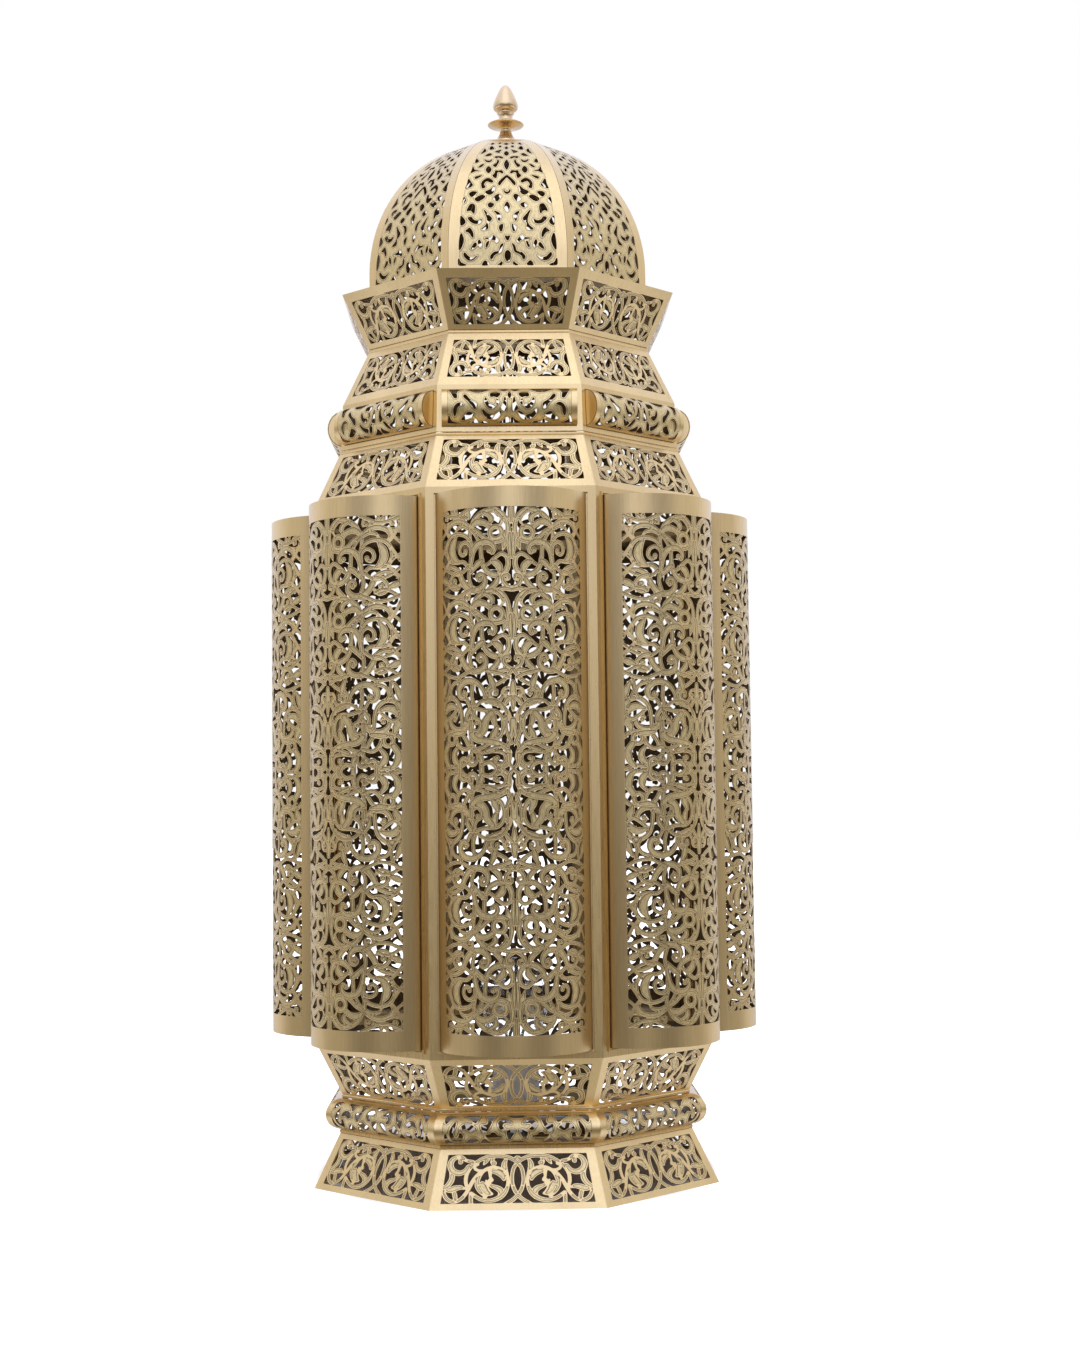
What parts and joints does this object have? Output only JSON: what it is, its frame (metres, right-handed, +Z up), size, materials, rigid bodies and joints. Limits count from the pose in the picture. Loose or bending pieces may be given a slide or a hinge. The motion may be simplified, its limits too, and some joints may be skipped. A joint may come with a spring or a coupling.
{
  "type": "octagonal pierced brass lantern",
  "caption": "Free-standing octagonal pierced brass lantern with a domed top, bowed side panels, a flared crown and base, and a rear door for its lamp.",
  "frame": {"origin": "centre of the footprint, on the plane that the lantern stands on", "axes": "+Z up along the lantern's axis to the finial; -Y is the front side; +Y is the side with the door"},
  "size_m": [0.3936, 0.3936, 0.9],
  "materials": {
    "pierced_brass": "satin antiqued, pierced and line engraved",
    "plain_brass": "satin antiqued, lightly brushed",
    "turned_brass": "satin, turned",
    "plated_steel": "dull nickel plate",
    "porcelain": "white glazed",
    "black_bush": "matte black",
    "bulb_glass": "clear"
  },
  "bodies": {
    "lantern": {"body_panel_1": "pierced_brass", "body_panel_2": "pierced_brass", "body_panel_3": "pierced_brass", "body_panel_4": "pierced_brass", "body_panel_6": "pierced_brass", "body_panel_7": "pierced_brass", "body_panel_8": "pierced_brass", "upper_bead_panel_1": "pierced_brass", "upper_bead_panel_2": "pierced_brass", "upper_bead_panel_3": "pierced_brass", "upper_bead_panel_4": "pierced_brass", "upper_bead_panel_5": "pierced_brass", "upper_bead_panel_6": "pierced_brass", "upper_bead_panel_7": "pierced_brass", "upper_bead_panel_8": "pierced_brass", "dome_gore_1": "pierced_brass", "dome_gore_2": "pierced_brass", "dome_gore_3": "pierced_brass", "dome_gore_4": "pierced_brass", "dome_gore_5": "pierced_brass", "dome_gore_6": "pierced_brass", "dome_gore_7": "pierced_brass", "dome_gore_8": "pierced_brass", "base_skirt": "pierced_brass", "lower_bead": "pierced_brass", "lower_cone": "pierced_brass", "shoulder_cone": "pierced_brass", "upper_cone": "pierced_brass", "crown_band": "pierced_brass", "base_rim": "plain_brass", "base_seam_ring": "plain_brass", "lower_cone_seam_ring": "plain_brass", "shoulder_seam_ring": "plain_brass", "crown_seam_ring": "plain_brass", "body_frame": "plain_brass", "upper_bead_frame": "plain_brass", "dome_base_ring": "plain_brass", "lampholder_contact": "plain_brass", "finial_seat": "turned_brass", "hinge_fixed_leaf_1": "turned_brass", "hinge_fixed_leaf_2": "turned_brass", "catch_stud": "turned_brass", "finial_stud": "plated_steel", "dome_washer": "plated_steel", "dome_nut": "plated_steel", "hinge_rod": "plated_steel", "lamp_cross_bar": "plated_steel", "threaded_tube": "plated_steel", "tube_nut": "plated_steel", "lampholder_cap": "porcelain", "lampholder_sleeve": "porcelain", "cable_bush": "black_bush"},
    "door": {"door_panel": "pierced_brass", "hinge_door_leaf_1": "turned_brass", "hinge_door_leaf_2": "turned_brass", "door_lug": "turned_brass"},
    "turn_catch": {"turn_catch": "turned_brass"},
    "finial": {"finial": "turned_brass"},
    "bulb": {"bulb_cap": "plated_steel", "bulb_glass": "bulb_glass"}
  },
  "joints": [
    {"name": "rear_door", "type": "hinge", "parent": "lantern", "child": "door", "pos_m": [-0.0605, 0.1589, 0.32], "axis": [0, 0, 1], "range_deg": [0, 100]},
    {"name": "door_catch", "type": "hinge", "parent": "lantern", "child": "turn_catch", "pos_m": [0.0617, 0.1582, 0.32], "axis": [0, -1, 0], "range_deg": [0, 90]},
    {"name": "finial_turn", "type": "hinge", "parent": "lantern", "child": "finial", "pos_m": [0, 0, 0.87], "axis": [0, 0, 1], "continuous": true},
    {"name": "bulb_turn", "type": "hinge", "parent": "lantern", "child": "bulb", "pos_m": [0, 0, 0.08], "axis": [0, 0, 1], "continuous": true}
  ]
}
